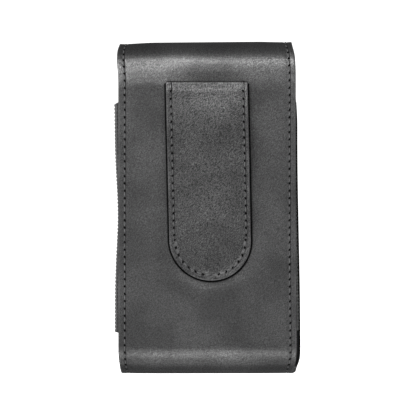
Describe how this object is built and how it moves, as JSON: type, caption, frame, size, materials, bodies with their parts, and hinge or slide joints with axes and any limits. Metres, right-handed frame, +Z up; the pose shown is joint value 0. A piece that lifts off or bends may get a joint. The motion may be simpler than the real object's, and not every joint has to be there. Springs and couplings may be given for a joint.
{
  "type": "belt pouch with elastic gussets",
  "caption": "Upright black leather belt pouch for a compact camera, with elastic side gussets, a stitched belt loop on the back and a fold-over flap held by a magnetic snap.",
  "frame": {"origin": "middle of the base's flat underside, halfway through the pocket's depth", "axes": "+Z up from base to top; the flap closes over the -Y side; the belt loop is on the +Y side; X across the width"},
  "size_m": [0.0784, 0.0464, 0.1394],
  "materials": {
    "smooth_leather": "smooth fine-grained black leather, satin",
    "strap_leather": "coarser-grained black leather, matte",
    "lining": "matte woven",
    "stiffener": "matte fibre board",
    "elastic": "ribbed elastic, matte",
    "thread": "twisted, slight sheen",
    "nickel": "polished nickel plate"
  },
  "bodies": {
    "case": {"shell_leather": "smooth_leather", "shell_lining": "lining", "back_board": "stiffener", "front_board": "stiffener", "base_board": "stiffener", "left_gusset": "elastic", "right_gusset": "elastic", "loop_leather": "strap_leather", "loop_core": "strap_leather", "loop_lining": "lining", "snap_post": "nickel", "snap_pocket_washer": "nickel", "left_seam_thread": "thread", "right_seam_thread": "thread", "mouth_thread": "thread", "loop_side_threads": "thread", "loop_anchor_thread": "thread", "loop_top_thread": "thread"},
    "flap_top": {"flap_top_leather": "smooth_leather", "flap_top_board": "stiffener", "flap_top_lining": "lining", "flap_top_threads": "thread"},
    "flap_front": {"flap_front_leather": "smooth_leather", "flap_front_board": "stiffener", "flap_front_lining": "lining", "flap_front_thread": "thread", "snap_magnet": "nickel", "snap_flap_washer": "nickel"}
  },
  "joints": [
    {"name": "flap_fold_rear", "type": "hinge", "parent": "case", "child": "flap_top", "pos_m": [0, 0.01319, 0.13559], "axis": [-1, 0, 0], "range_deg": [0, 150]},
    {"name": "flap_fold_front", "type": "hinge", "parent": "flap_top", "child": "flap_front", "pos_m": [0, -0.01779, 0.13559], "axis": [-1, 0, 0], "range_deg": [0, 80]}
  ]
}
